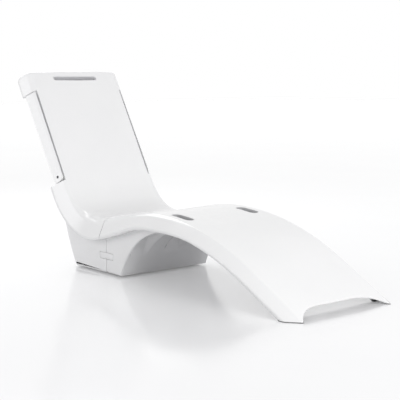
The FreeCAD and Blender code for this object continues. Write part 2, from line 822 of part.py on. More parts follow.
nodes = {
    "rear_deck": body.common(rear_side),
    "front_deck": body.common(front_side),
    "rear_base": walls.common(rear_side),
    "front_base": walls.common(front_side),
    "rear_pan": rear_pan,
    "front_pan": front_pan,
    "rear_bulkhead": rear_bulkhead,
    "front_bulkhead": front_bulkhead,
    "seam_gasket": gasket,
    "back_cover": back_cover,
    "slot_liner": slot_liner,
    "leg_liner": leg_liner,
    "seam_bolts": group(seam_bolts),
    "seam_nuts": group(seam_nuts),
    "rim_screws": group(rim_screws),
    "pan_screws": group(pan_screws),
    "foot_screws": group(foot_screws),
    "cover_screws": group(cover_screws),
    "liner_screws": group(liner_screws),
    "tie_screws": group(both(tie_screws)),
    "hinge_screws": group(both(hinge_screws)),
}
for number, foot in enumerate(feet, 1):
    nodes[f"base_foot_{number}"] = foot
sided = {
    "leg_glide": lambda: glides.common(Part.makeBox(3 * seat_reach, rim_half, crest_height)),
    "armrest": arm,
    "arm_bush": arm_bush,
    "hinge_pin": hinge_pin,
    "hinge_nut": hinge_nut,
    "hinge_plate": hinge_plate,
    "thrust_washer": thrust_washer,
    "arm_stop": arm_stop,
    "rest_peg": rest_peg,
    "grip_cup": lambda: cup,
    "seam_cover": lambda: cover,
    "tie_plate": lambda: tie,
}
for name, maker in sided.items():
    nodes[name + "_left"], nodes[name + "_right"] = pair(maker)

# The origin lies on the floor, midway between the head end and the foot tips

outer = Part.makeCompound([nodes["rear_deck"], nodes["back_cover"], nodes["slot_liner"], nodes["front_deck"],
                           nodes["leg_glide_left"]]).optimalBoundingBox(False, False)
shift = V(-(outer.XMin + outer.XMax) / 2, 0, 0)
for name, shape in nodes.items():
    shape = shape.copy()
    shape.translate(shift)
    shape.exportStep(f"parts/{name}.step")
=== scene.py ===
import math

import bmesh
import bpy
from mathutils import Matrix, Vector


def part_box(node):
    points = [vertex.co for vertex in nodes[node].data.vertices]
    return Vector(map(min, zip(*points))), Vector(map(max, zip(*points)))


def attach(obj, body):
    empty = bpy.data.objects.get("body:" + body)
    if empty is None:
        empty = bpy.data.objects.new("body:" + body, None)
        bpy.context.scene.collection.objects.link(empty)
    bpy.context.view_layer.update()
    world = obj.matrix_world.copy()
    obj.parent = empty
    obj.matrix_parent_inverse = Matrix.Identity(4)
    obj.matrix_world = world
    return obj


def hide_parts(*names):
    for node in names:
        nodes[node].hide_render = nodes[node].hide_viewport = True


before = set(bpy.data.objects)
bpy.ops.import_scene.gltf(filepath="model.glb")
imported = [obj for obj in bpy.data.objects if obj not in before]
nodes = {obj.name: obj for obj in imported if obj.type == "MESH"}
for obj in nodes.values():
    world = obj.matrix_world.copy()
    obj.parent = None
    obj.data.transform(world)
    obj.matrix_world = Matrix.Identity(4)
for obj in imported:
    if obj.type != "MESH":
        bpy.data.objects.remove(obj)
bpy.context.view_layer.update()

# Rear shell: the backrest and the seat valley are one gelcoated moulding, hollow inside
# and open below. Its section is swept down the side line: dished top, rounded shoulders,
# slanted side bands. The armrest notches are set into the bands.

crest_height = 0.317
crest_rear_radius = 0.900
crest_front_radius = 1.310
seat_slope = math.radians(10.5)
leg_slope = math.radians(29.0)
back_lean = math.radians(59.7)
seat_reach = 0.585
valley_radius = 0.262
back_length = 0.833
seam_reach = 0.353
seam_gap = 0.0013
rim_half = 0.2935
rim_edge = 0.014
shell_wall = 0.006
arm_notch_half = 0.249
arm_notch_rear_half = 0.2352
arm_notch_bend_depth = 0.058
notch_top = 0.1165
notch_foot = 0.6145
head_corner = 0.012
flat_half = 0.245
under_half = 0.220
flat_columns = 18

seam_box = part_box("seam_gasket")
seam_x = (seam_box[0].x + seam_box[1].x) / 2
crest_x = seam_x + seam_reach

rear_end_x = -crest_rear_radius * math.sin(seat_slope)
rear_end_z = crest_height - crest_rear_radius * (1 - math.cos(seat_slope))
meet_z = rear_end_z - (seat_reach + rear_end_x) * math.tan(seat_slope)
valley_turn = back_lean + seat_slope
valley_tangent = valley_radius * math.tan(valley_turn / 2)
seat_run = (seat_reach + rear_end_x) / math.cos(seat_slope) - valley_tangent
front_end_z = crest_height - crest_front_radius * (1 - math.cos(leg_slope))
leg_run = front_end_z / math.sin(leg_slope) + 0.06
side_runs = [
    (back_length - valley_tangent, 0.0),
    (valley_radius * valley_turn, valley_turn),
    (seat_run, 0.0),
    (crest_rear_radius * seat_slope, -seat_slope),
    (crest_front_radius * leg_slope, -leg_slope),
    (leg_run, 0.0),
]
at_back_foot, at_seat, _, at_crest, at_leg, at_end = [
    sum(length for length, turn in side_runs[: i + 1]) for i in range(len(side_runs))
]
at_leg_middle = (at_crest + at_leg) / 2
head_x = crest_x - seat_reach - back_length * math.cos(back_lean)
head_z = meet_z + back_length * math.sin(back_lean)


def side_line(along):
    """Point and heading on the side line, a distance down from the head end."""
    x, z, heading = head_x, head_z, -back_lean
    for length, turn in side_runs:
        step = min(along, length)
        if turn:
            radius = length / turn
            swept = step / radius
            x += radius * (math.sin(heading + swept) - math.sin(heading))
            z += radius * (math.cos(heading) - math.cos(heading + swept))
            heading += swept
        else:
            x += step * math.cos(heading)
            z += step * math.sin(heading)
        along -= step
        if along <= 0:
            break
    return x, z, heading


def shell_point(along, across, depth):
    x, z, heading = side_line(along)
    return Vector((x + depth * math.sin(heading), across, z - depth * math.cos(heading)))


def eased(along, knots):
    for (start, low), (end, high) in zip(knots, knots[1:]):
        if along <= end:
            share = max((along - start) / (end - start), 0)
            return low + (high - low) * share * share * (3 - 2 * share)
    return knots[-1][1]


def shell_depth(along):
    return eased(along, [(0, 0.079), (at_back_foot, 0.084), (at_seat, 0.100), (at_crest, 0.070),
                         (at_leg_middle, 0.052), (at_end, 0.041)])


def rounded_line(corners, straight_steps, arc_steps):
    """Points of a bent line (across, depth), each inner corner rounded by its radius."""
    line = [Vector(corners[0][:2])]
    for i in range(1, len(corners)):
        end = Vector(corners[i][:2])
        before = Vector(corners[i - 1][:2])
        last = i == len(corners) - 1
        if last:
            start_of_arc = end
        else:
            after = Vector(corners[i + 1][:2])
            into = (before - end).normalized()
            out = (after - end).normalized()
            reach = corners[i][2] / math.tan(into.angle(out) / 2) if corners[i][2] else 0
            start_of_arc = end + into * reach
        here = line[-1]
        steps = straight_steps[i - 1]
        line += [here.lerp(start_of_arc, k / steps) for k in range(1, steps + 1)]
        if not last:
            end_of_arc = end + out * reach
            steps = arc_steps[i - 1]
            for k in range(1, steps + 1):
                s = k / steps
                line.append(start_of_arc * (1 - s) ** 2 + end * 2 * s * (1 - s) + end_of_arc * s * s)
    return line


lip_back, lip_leg = 0.200, 0.234


def lip_half(along):
    """Half width of the open underside."""
    knots = [(0, 0), (0.066, 0), (0.078, lip_back), (0.590, lip_back), (0.610, lip_leg),
             (at_end, lip_leg)]
    for (start, low), (end, high) in zip(knots, knots[1:]):
        if along <= end:
            return low + (high - low) * (along - start) / (end - start)
    return knots[-1][1]


def dish_depth(along):
    return eased(along, [(0, 0.003), (at_back_foot / 2, 0.003), (at_seat, 0.014), (at_crest, 0.003),
                         (at_end, 0.003)])


def shell_section(along, notched=False):
    """Full section from lip to lip: points (across, depth) in the section's plane."""
    depth = shell_depth(along)
    ridge = eased(along, [(0, 0.262), (at_back_foot, 0.262), (at_crest, 0.249)])
    shoulder = eased(along, [(0, 0.040), (at_back_foot, 0.014), (at_seat, 0.060), (at_crest, 0.032),
                             (at_leg_middle, 0.016), (at_end, 0.016)])
    dish = dish_depth(along)
    opening = lip_half(along)
    lip = [(under_half + max(0, opening - lip_back), depth, 0), (opening, depth, 0)]
    if notched:
        corners = [(arm_notch_half, 0, 0.0025), (arm_notch_half, arm_notch_bend_depth, 0.006),
                   (arm_notch_rear_half, depth, 0.003)]
    else:
        corners = [(ridge, 0, shoulder), (rim_half, depth - rim_edge, 0.012), (rim_half, depth, 0.006)]
    slant = math.atan2(rim_half - ridge, depth - rim_edge)
    level = min(flat_half, ridge - shoulder * math.tan((math.pi / 2 - slant) / 2))
    top = [Vector((level * k / flat_columns, 0)) for k in range(flat_columns)]
    bent = [(level, 0, 0)] + corners + lip
    half = top + rounded_line(bent, (1, 3, 1, 2, flat_columns), (8, 4, 4, 1))
    for point in half:
        if point.y == 0:
            point.y = dish * (1 - min(point.x / level, 1) ** 2) ** 2
    return [Vector((-p.x, p.y)) for p in reversed(half)] + half[1:]


columns = len(shell_section(0.3)) - 1


def crown(across):
    """How far the head end's crowned edge with its round corners lies down the side line."""
    side = abs(across)
    straight = rim_half - head_corner
    if side <= straight:
        return 0.009 * (side / straight) ** 2
    return 0.009 + head_corner - math.sqrt(max(head_corner ** 2 - (side - straight) ** 2, 0))


def narrow(low, high, passed, steps=26):
    """Closes in on the value at which a test turns true."""
    for _ in range(steps):
        middle = (low + high) / 2
        if passed(middle):
            high = middle
        else:
            low = middle
    return high


def meet(column, low, high, beyond):
    """Distance down the side line at which a column of the section passes a limit."""
    def passed(along):
        across, depth = shell_section(along)[column]
        return beyond(shell_point(along, across, depth))

    return narrow(low, high, passed)


def seam_line(x):
    return [meet(column, at_seat - 0.05, at_crest, lambda p: p.x > x) for column in range(columns + 1)]


def grid_mesh(across, along, place):
    """Grid of quads with each corner laid at place(column, row)."""
    sheet = bmesh.new()
    bmesh.ops.create_grid(sheet, x_segments=across, y_segments=along, size=0.5)
    for corner in sheet.verts:
        corner.co = place(round((corner.co.x + 0.5) * across), round((corner.co.y + 0.5) * along))
    bmesh.ops.remove_doubles(sheet, verts=sheet.verts, dist=0.00004)
    return sheet


def new_piece(name, sheet, material):
    mesh = bpy.data.meshes.new(name)
    sheet.to_mesh(mesh)
    sheet.free()
    mesh.shade_smooth()
    mesh.materials.append(material)
    piece = bpy.data.objects.new(name, mesh)
    bpy.context.scene.collection.objects.link(piece)
    return piece


def settle(piece, sharp=math.radians(38), close=False):
    """Turns the modifiers into mesh and leaves hard edges only where faces meet steeply."""
    depsgraph = bpy.context.evaluated_depsgraph_get()
    mesh = bpy.data.meshes.new_from_object(piece.evaluated_get(depsgraph))
    sheet = bmesh.new()
    sheet.from_mesh(mesh)
    bmesh.ops.dissolve_degenerate(sheet, edges=sheet.edges, dist=0.000001)
    if close:
        bmesh.ops.holes_fill(sheet, edges=[e for e in sheet.edges if e.is_boundary], sides=0)
    sheet.to_mesh(mesh)
    sheet.free()
    piece.modifiers.clear()
    piece.data = mesh
    mesh.shade_smooth()
    mesh.set_sharp_from_angle(angle=sharp)
    return piece


def cut_away(piece, tool):
    """Cuts the tool's shape out of the piece and throws the tool away."""
    cutter_mesh = bpy.data.meshes.new("cutter")
    bmesh.ops.recalc_face_normals(tool, faces=tool.faces)
    tool.to_mesh(cutter_mesh)
    tool.free()
    cutter = bpy.data.objects.new("cutter", cutter_mesh)
    bpy.context.scene.collection.objects.link(cutter)
    modifier = piece.modifiers.new("opening", "BOOLEAN")
    modifier.operation = "DIFFERENCE"
    modifier.solver = "EXACT"
    modifier.object = cutter
    settle(piece, close=True)
    bpy.data.objects.remove(cutter)


def moulded_wall(piece, wall, edge_radius=0, segments=3):
    """Gives a sheet its wall, inwards, and rounds the wall's edges where a radius is given."""
    thick = piece.modifiers.new("wall", "SOLIDIFY")
    thick.thickness = wall
    thick.offset = -1
    if edge_radius:
        soften(piece, edge_radius, segments)


def soften(piece, radius, segments):
    edge = piece.modifiers.new("edge", "BEVEL")
    edge.width = radius
    edge.segments = segments
    edge.limit_method = "ANGLE"
    edge.angle_limit = math.radians(40)
    edge.harden_normals = False


def oblong_outline(half_length, half_width, steps):
    """Points (lengthwise, sideways) round a slot with round ends."""
    straight = half_length - half_width
    outline = []
    for k in range(steps):
        turn = 2 * math.pi * (k + 0.5) / steps
        side = straight if math.cos(turn) > 0 else -straight
        outline.append((side + half_width * math.cos(turn), half_width * math.sin(turn)))
    return outline


def frame_matrix(along):
    """Local frame: X down the side line, Y across, Z out of the surface."""
    x, z, heading = side_line(along)
    turn = Matrix.Rotation(-heading, 4, "Y")
    return Matrix.Translation((x, 0, z)) @ turn


cutter_rise = 0.02


def oblong_cutter(along, across, half_length, half_width, depth, crossways):
    """Round-ended plug from above the surface down to a depth."""
    tool = bmesh.new()
    ring = []
    for lengthwise, sideways in oblong_outline(half_length, half_width, 64):
        x, y = (sideways, lengthwise) if crossways else (lengthwise, sideways)
        ring.append(tool.verts.new((x, across + y, cutter_rise)))
    lid = tool.faces.new(ring)
    body = bmesh.ops.extrude_face_region(tool, geom=[lid])["geom"]
    moved = [v for v in body if isinstance(v, bmesh.types.BMVert)]
    bmesh.ops.translate(tool, verts=moved, vec=(0, 0, -depth - cutter_rise))
    bmesh.ops.transform(tool, matrix=frame_matrix(along), verts=tool.verts)
    return tool


def noise(tree, scale, detail, roughness=0.5):
    """Noise texture on Object coordinates."""
    coordinates = tree.nodes.new("ShaderNodeTexCoord")
    texture = tree.nodes.new("ShaderNodeTexNoise")
    texture.inputs["Scale"].default_value = scale
    texture.inputs["Detail"].default_value = detail
    texture.inputs["Roughness"].default_value = roughness
    tree.links.new(coordinates.outputs["Object"], texture.inputs["Vector"])
    return texture


def vary(tree, texture, socket, low, high, start, end):
    """Lets a texture move a shader's socket between two colours."""
    ramp = tree.nodes.new("ShaderNodeValToRGB")
    for element, position, colour in zip(ramp.color_ramp.elements, (start, end), (low, high)):
        element.position = position
        element.color = colour
    tree.links.new(texture.outputs["Fac"], ramp.inputs["Fac"])
    tree.links.new(ramp.outputs["Color"], socket)


def new_finish(name, cloud_scale, cloud_detail, dark, light, cloud_roughness=0.5, start=0.3, end=0.7):
    """A material with a cloudy base colour: itself, its node tree and its shader."""
    material = bpy.data.materials.new(name)
    material.use_nodes = True
    tree, shader = material.node_tree, material.node_tree.nodes["Principled BSDF"]
    cloud = noise(tree, cloud_scale, cloud_detail, cloud_roughness)
    vary(tree, cloud, shader.inputs["Base Color"], (*dark, 1), (*light, 1), start, end)
    return material, tree, shader


def vary_gloss(tree, texture, shader, low, high, start, end):
    socket = shader.inputs["Roughness"]
    vary(tree, texture, socket, (low, low, low, 1), (high, high, high, 1), start, end)


def emboss(tree, texture, shader, strength, distance, under=None):
    """Bumps the shader's surface by a texture, over an earlier bump where one is given."""
    node = tree.nodes.new("ShaderNodeBump")
    node.inputs["Strength"].default_value = strength
    node.inputs["Distance"].default_value = distance
    tree.links.new(texture.outputs["Fac"], node.inputs["Height"])
    if under:
        tree.links.new(under.outputs["Normal"], node.inputs["Normal"])
    tree.links.new(node.outputs["Normal"], shader.inputs["Normal"])
    return node


def gelcoat_finish(name, light, shade, gloss_low, gloss_high, coat):
    """Sprayed glossy moulding: cloudy tint, faint orange peel and hairline polish marks."""
    material, tree, shader = new_finish(name, 3.0, 4.0, shade, light)
    vary_gloss(tree, noise(tree, 22.0, 6.0, 0.65), shader, gloss_low, gloss_high, 0.35, 0.75)
    peel = emboss(tree, noise(tree, 260.0, 2.0), shader, 0.05, 0.0004)
    emboss(tree, noise(tree, 9.0, 2.0), shader, 0.04, 0.004, peel)
    shader.inputs["IOR"].default_value = 1.5
    shader.inputs["Coat Weight"].default_value = coat
    shader.inputs["Coat Roughness"].default_value = 0.06
    return material


white_gelcoat = gelcoat_finish("white_gelcoat", (0.905, 0.905, 0.91), (0.88, 0.88, 0.888),
                               0.16, 0.27, 0.35)

slot_along = 0.047
slot_outer = (0.1325, 0.0135)
head_round = 0.014
head_rows, notch_rows, valley_rows = 14, 22, 46
cap_steps = 6
cap_section = 0.02
spine_half = 0.25


def rear_shell_mesh():
    head = shell_section(cap_section)
    starts = [crown(point.x) + head_round for point in head]
    seam = seam_line(seam_x - seam_gap)
    ledge_top, ledge_foot = [notch_top] * (columns + 1), [notch_foot] * (columns + 1)
    rows = []
    for start, end, steps, notched in ((starts, ledge_top, head_rows, False),
                                       (ledge_top, ledge_foot, notch_rows, True),
                                       (ledge_foot, seam, valley_rows, False)):
        rows += [(start, end, k / steps, notched) for k in range(steps + 1)]
    cap = [math.pi / 2 * k / cap_steps for k in range(cap_steps, 0, -1)]
    inner = [0.5, 0.0]
    middle = shell_depth(cap_section) / 2

    def place(column, row):
        if row < len(inner) + len(cap):
            across, depth = head[column]
            from_centre = abs(column - columns // 2)
            spine_share = min(from_centre, columns // 2 - from_centre, flat_columns) / flat_columns
            spine = math.copysign(spine_half * spine_share, column - columns // 2)
            if row < len(inner):
                keep = inner[len(inner) - 1 - row] * (1 - head_round / middle)
                drop = 0
            else:
                angle = cap[row - len(inner)]
                keep = 1 - head_round * (1 - math.cos(angle)) / middle
                drop = head_round * (1 - math.sin(angle))
            y = spine + (across - spine) * keep
            return shell_point(crown(y) + drop, y, middle + (depth - middle) * keep)
        start, end, share, notched = rows[row - len(inner) - len(cap)]
        along = start[column] + (end[column] - start[column]) * share
        across, depth = shell_section(along, notched)[column]
        return shell_point(along, across, depth)

    sheet = grid_mesh(columns, len(rows) + len(inner) + len(cap) - 1, place)
    bmesh.ops.reverse_faces(sheet, faces=sheet.faces)
    return sheet


rear_shell = new_piece("rear_shell", rear_shell_mesh(), white_gelcoat)
moulded_wall(rear_shell, shell_wall)
settle(rear_shell)
cut_away(rear_shell, oblong_cutter(slot_along, 0, *slot_outer, 0.12, True))
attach(rear_shell, "lounger")
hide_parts("rear_deck")

# Front shell: the knee crest and the long leg rest, the same moulding carried on to the
# floor. It ends in a hollow cut between two pointed feet. Two grip pockets are let into
# its top behind the knees.

scoop_reach = 0.838
tip_reach = 0.907
tip_half = 0.246
tip_rise = 0.003
front_rows = 96
grip_along = at_crest + 0.127
grip_half_spacing = 0.186
grip_half_length = 0.064
grip_half_width = 0.024


def past_foot(point):
    hollow = scoop_reach + (tip_reach - scoop_reach) * min(abs(point.y) / tip_half, 1) ** 4.5
    return point.x > crest_x + hollow or point.z < tip_rise


def front_shell_mesh():
    seam = seam_line(seam_x + seam_gap)
    foot = [meet(column, at_leg, at_end, past_foot) for column in range(columns + 1)]

    def place(column, row):
        along = seam[column] + (foot[column] - seam[column]) * row / front_rows
        across, depth = shell_section(along)[column]
        return shell_point(along, across, depth)

    sheet = grid_mesh(columns, front_rows, place)
    bmesh.ops.reverse_faces(sheet, faces=sheet.faces)
    return sheet


front_shell = new_piece("front_shell", front_shell_mesh(), white_gelcoat)
moulded_wall(front_shell, shell_wall, 0.0018)
settle(front_shell)
below_tips = bmesh.new()
bmesh.ops.create_cube(below_tips, size=1)
bmesh.ops.translate(below_tips, verts=below_tips.verts, vec=(crest_x + tip_reach, 0, tip_rise - 0.5))
cut_away(front_shell, below_tips)
for side in (1, -1):
    cut_away(front_shell, oblong_cutter(grip_along, side * grip_half_spacing, grip_half_length,
                                        grip_half_width, 0.026, False))
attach(front_shell, "lounger")
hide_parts("front_deck")

# Base tub: side walls, heel and arched front wall, moulded in two halves that meet at the
# seam. Three hollows rise under the arch between two broad round ribs and stiffen it.

base_half = 0.254
base_gap = 0.008
base_wall = 0.006
heel_line = [(-0.634, 0.008), (-0.708, 0.166), (-0.768, 0.385)]
heel_round = 0.035
arch_round = 0.006
arch_radius = 0.350
arch_centre = (0.090, -0.109)
flute_start = 0.102
flute_back = [(-0.165, 0.170), (-0.120, 0.2355)]
flute_edge = 0.007
rib_round = 0.014
flute_inner_half = 0.045
flute_outer = (0.153, 0.242)


def arc_through(a, b, c, share):
    """Point on the circle through three points, a share of the way from a to c."""
    d = 2 * (a[0] * (b[1] - c[1]) + b[0] * (c[1] - a[1]) + c[0] * (a[1] - b[1]))
    aa, bb, cc = (p[0] ** 2 + p[1] ** 2 for p in (a, b, c))
    x = (aa * (b[1] - c[1]) + bb * (c[1] - a[1]) + cc * (a[1] - b[1])) / d
    z = (aa * (c[0] - b[0]) + bb * (a[0] - c[0]) + cc * (b[0] - a[0])) / d
    start = Vector((a[0] - x, a[1] - z))
    end = Vector((c[0] - x, c[1] - z))
    turned = start.copy()
    turned.rotate(Matrix.Rotation(-start.angle_signed(end) * share, 2))
    return Vector((x, z)) + turned


def arch_point(angle):
    """Point on the arch, angle up from the horizontal through its centre."""
    return Vector((arch_centre[0] - arch_radius * math.cos(angle),
                   arch_centre[1] + arch_radius * math.sin(angle)))


def arch_angle(z):
    return math.asin((z - arch_centre[1]) / arch_radius)


arch_rows = [8, 26, 6]
base_rows = sum(arch_rows) + 1


def arch_path(row, fluted):
    """Front wall's side view, floor to nose, along a rib or along a hollow."""
    low, start, roof = arch_angle(base_gap), arch_angle(flute_start), arch_angle(flute_back[1][1])
    if row <= arch_rows[0]:
        return arch_point(low + (start - low) * row / arch_rows[0])
    if row <= arch_rows[0] + arch_rows[1]:
        share = (row - arch_rows[0]) / arch_rows[1]
        if not fluted:
            return arch_point(start + (roof - start) * share)
        if share <= 0.6:
            return arc_through(arch_point(start), flute_back[0], flute_back[1], share / 0.6)
        return Vector(flute_back[1]).lerp(arch_point(roof), (share - 0.6) / 0.4)
    if row < base_rows:
        share = (row - arch_rows[0] - arch_rows[1]) / arch_rows[2]
        return arch_point(roof + (math.pi / 2 - roof) * share)
    return arch_point(math.pi / 2) + Vector((0, 0.006))


def path_inward(path, row):
    """Unit normal of a path, into the base."""
    step = path(min(row + 1, base_rows - 1)) - path(max(row - 1, 0))
    return Vector((-step.y, step.x)).normalized()


def heel_corner(share, angle):
    """Point a share of the way up the heel, on its round corner at an angle from the side."""
    step = arc_through(*heel_line, share + 0.001) - arc_through(*heel_line, share - 0.001)
    outward = Vector((-step.y, step.x)).normalized()
    return arc_through(*heel_line, share) - outward * heel_round * (1 - math.sin(angle))


def smooth_share(value):
    value = max(0, min(1, value))
    return value * value * (3 - 2 * value)


def flute_share(across):
    """1 in the middle of a hollow, 0 on a rib."""
    side = abs(across)
    inner = smooth_share((flute_inner_half + rib_round - side) / (2 * rib_round))
    outer = min(smooth_share((side - flute_outer[0] + rib_round) / (2 * rib_round)),
                smooth_share((flute_outer[1] - side) / (1.2 * flute_edge) + 0.1))
    return max(inner, outer)


def spread(start, end, steps):
    return [start + (end - start) * k / steps for k in range(1, steps + 1)]


front_across = [0]
column_stops = (0, 0.026, 0.064, 0.134, 0.172, 0.232, 0.248)
for start, stop, steps in zip(column_stops, column_stops[1:], (3, 12, 5, 12, 5, 12)):
    front_across += spread(start, stop, steps)
floor_columns = 26
heel_columns = 8
arch_corner_columns = 4
underside_from, underside_to = 0.4, at_crest + 0.0905


def join(sheet, part, flipped=False):
    """Adds a part's faces to a sheet, turned round where asked."""
    if flipped:
        bmesh.ops.reverse_faces(part, faces=part.faces)
    carrier = bpy.data.meshes.new("part")
    part.to_mesh(carrier)
    part.free()
    sheet.from_mesh(carrier)
    bpy.data.meshes.remove(carrier)


def base_mesh():
    def rib_path(row):
        return arch_path(row, False)

    def front_shifted(row):
        return rib_path(row) + path_inward(rib_path, row) * arch_round

    def underside_at(along):
        point = shell_point(along, 0, shell_depth(along) - 0.002)
        return Vector((point.x - crest_x, point.z))

    def underside_along(x):
        return narrow(underside_from, underside_to, lambda along: underside_at(along).x > x)

    def heel_end(angle):
        """Share of the heel line at which a column of the corner meets the shell."""
        def in_shell(share):
            point = heel_corner(share, angle)
            return point.y > underside_at(underside_along(point.x)).y

        return narrow(0.4, 1.3, in_shell, 22)

    foot_along = underside_along(front_shifted(0).x)
    heel_top = heel_end(0)
    heel_along = underside_along(heel_corner(heel_top, 0).x)

    def wall_place(column, row):
        """Flat side wall: columns run up from the arch and the floor edge to the shell."""
        up = row / base_rows
        if column <= base_rows:
            bottom = front_shifted(base_rows - column)
            top = underside_at(underside_along(bottom.x)) if column else bottom
            return bottom.lerp(top, up)
        share = (column - base_rows) / floor_columns
        bottom = front_shifted(0).lerp(heel_corner(0, 0), share)
        top = underside_at(foot_along + (heel_along - foot_along) * share)
        heel_bow = heel_corner(heel_top * up, 0) - heel_corner(0, 0).lerp(heel_corner(heel_top, 0), up)
        return bottom.lerp(top, up) + heel_bow * share ** 2

    half = []
    for y in front_across:
        half.append(lambda row, y=y: (rib_path(row).lerp(arch_path(row, True), flute_share(y)), y))
    for k in range(1, arch_corner_columns + 1):
        angle = math.pi / 2 * k / arch_corner_columns
        half.append(lambda row, a=angle: (
            rib_path(row) + path_inward(rib_path, row) * arch_round * (1 - math.cos(a)),
            base_half - arch_round + arch_round * math.sin(a)))
    heel = []
    for k in range(heel_columns + 1):
        angle = math.pi / 2 * k / heel_columns
        heel.append(lambda row, a=angle, end=heel_end(angle): (
            heel_corner(end * row / base_rows, a), base_half - heel_round * (1 - math.cos(a))))
    back_end = heel_end(math.pi / 2)
    for k in range(1, heel_columns + 1):
        heel.append(lambda row, s=k / heel_columns: (
            heel_corner(back_end * row / base_rows, math.pi / 2), (base_half - heel_round) * (1 - s)))

    def strip_place(strip):
        count = len(strip) - 1

        def place(column, row):
            side, index = (1, column - count) if column >= count else (-1, count - column)
            flat, y = strip[index](row)
            return Vector((flat.x + crest_x, side * y, flat.y))

        return count, place

    sheet = bmesh.new()
    pieces = []
    count, place = strip_place(half)
    pieces.append((2 * count, place, False))
    count, place = strip_place(heel[::-1])
    pieces.append((2 * count, place, True))
    for side in (1, -1):
        def place(column, row, side=side):
            flat = wall_place(column, row)
            return Vector((flat.x + crest_x, side * base_half, flat.y))

        pieces.append((base_rows + floor_columns, place, side < 0))
    for across, place, flipped in pieces:
        join(sheet, grid_mesh(across, base_rows, place), flipped)
    bmesh.ops.remove_doubles(sheet, verts=sheet.verts, dist=0.0001)
    return sheet


cover_size = (0.105, 0.030, 0.003)
cover_height = 0.086
pocket_gap = 0.0011
pocket_depth = 0.0046
plate_play = 0.0011
pocket_round = 0.0048


def round_edges(sheet, edges, radius, segments):
    bmesh.ops.bevel(sheet, geom=edges, offset=radius, segments=segments, profile=0.5,
                    affect="EDGES", material=-1)


def sink_pocket(sheet, side):
    """Sinks the round-cornered pocket of a seam cover into a side wall."""
    half_length = cover_size[0] / 2 + pocket_gap
    half_height = cover_size[1] / 2 + pocket_gap
    for x, z, normal in ((-half_length, 0, (1, 0, 0)), (half_length, 0, (1, 0, 0)),
                         (0, -half_height, (0, 0, 1)), (0, half_height, (0, 0, 1))):
        sheet.normal_update()
        wall = [f for f in sheet.faces if f.normal.y * side > 0.999
                and abs(f.calc_center_median().x - seam_x) < 0.1]
        edges = {e for f in wall for e in f.edges}
        corners = {v for f in wall for v in f.verts}
        bmesh.ops.bisect_plane(sheet, geom=wall + list(edges) + list(corners), dist=0.000001,
                               plane_co=(seam_x + x, 0, cover_height + z), plane_no=normal)
    sheet.normal_update()
    floor_faces = []
    for face in sheet.faces:
        middle = face.calc_center_median()
        if (face.normal.y * side > 0.999 and abs(middle.x - seam_x) < half_length
                and abs(middle.z - cover_height) < half_height):
            floor_faces.append(face)
    sunk = bmesh.ops.extrude_face_region(sheet, geom=floor_faces)["geom"]
    bmesh.ops.translate(sheet, verts=[v for v in sunk if isinstance(v, bmesh.types.BMVert)],
                        vec=(0, -side * pocket_depth, 0))
    leftover = [f for f in floor_faces if f.is_valid]
    if leftover:
        bmesh.ops.delete(sheet, geom=leftover, context="FACES_ONLY")
    bmesh.ops.delete(sheet, geom=[e for e in sheet.edges if e.is_wire], context="EDGES")
    sheet.normal_update()
    upright = [e for e in sheet.edges if abs(e.verts[0].co.y - e.verts[1].co.y) > cover_size[2] / 2
               and abs(abs(e.verts[0].co.x - seam_x) - half_length) < 0.0001
               and abs(abs(e.verts[0].co.z - cover_height) - half_height) < 0.0001]
    round_edges(sheet, upright, pocket_round, 5)


for name, node, limit, way in (("rear_tub", "rear_base", seam_x - seam_gap, 1),
                               ("front_tub", "front_base", seam_x + seam_gap, -1)):
    sheet = base_mesh()
    sheet.normal_update()
    for side in (1, -1):
        sink_pocket(sheet, side)
    bmesh.ops.bisect_plane(sheet, geom=sheet.verts[:] + sheet.edges[:] + sheet.faces[:], dist=0.00001,
                           plane_co=(limit, 0, 0), plane_no=(way, 0, 0), clear_outer=True)
    tub = new_piece(name, sheet, white_gelcoat)
    moulded_wall(tub, base_wall)
    settle(tub)
    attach(tub, "lounger")
    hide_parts(node)

# Seam covers: two small white plates hide the bolted joint low on the side walls. Each is
# pressed into a shallow pocket, with a hairline gap all round.

for side, node in ((1, "seam_cover_left"), (-1, "seam_cover_right")):
    plate = bmesh.new()
    bmesh.ops.create_cube(plate, size=1)
    plate_size = (cover_size[0] - 2 * plate_play, cover_size[2], cover_size[1] - 2 * plate_play)
    bmesh.ops.scale(plate, vec=plate_size, verts=plate.verts)
    upright = [e for e in plate.edges if abs(e.verts[0].co.y - e.verts[1].co.y) > cover_size[2] / 2]
    round_edges(plate, upright, 0.004, 6)
    plate.normal_update()
    outside = [f for f in plate.faces if f.normal.y * side > 0.9]
    round_edges(plate, list(outside[0].edges), 0.0008, 3)
    bmesh.ops.translate(plate, verts=plate.verts,
                        vec=(seam_x, side * (base_half - cover_size[2] / 2), cover_height))
    cover = new_piece(node + "_plate", plate, white_gelcoat)
    settle(cover)
    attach(cover, "lounger")
    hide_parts(node)

# Seam gasket: a grey rubber strip clamped between the two halves. It lies a little below
# the skin, so only a thin dark line shows round the joint.


def rubber_finish():
    """Moulded grey rubber, dusty in its pores."""
    material, tree, shader = new_finish("grey_rubber", 60.0, 5.0, (0.11, 0.11, 0.112),
                                        (0.18, 0.18, 0.183), 0.6, 0.35, 0.75)
    grain = noise(tree, 900.0, 3.0)
    vary_gloss(tree, grain, shader, 0.55, 0.85, 0.2, 0.8)
    emboss(tree, grain, shader, 0.3, 0.0003)
    return material


grey_rubber = rubber_finish()
gasket_inset = 0.0028
gasket_foot = base_gap + 0.003
gasket_leg = 0.162
leg_rows = 6


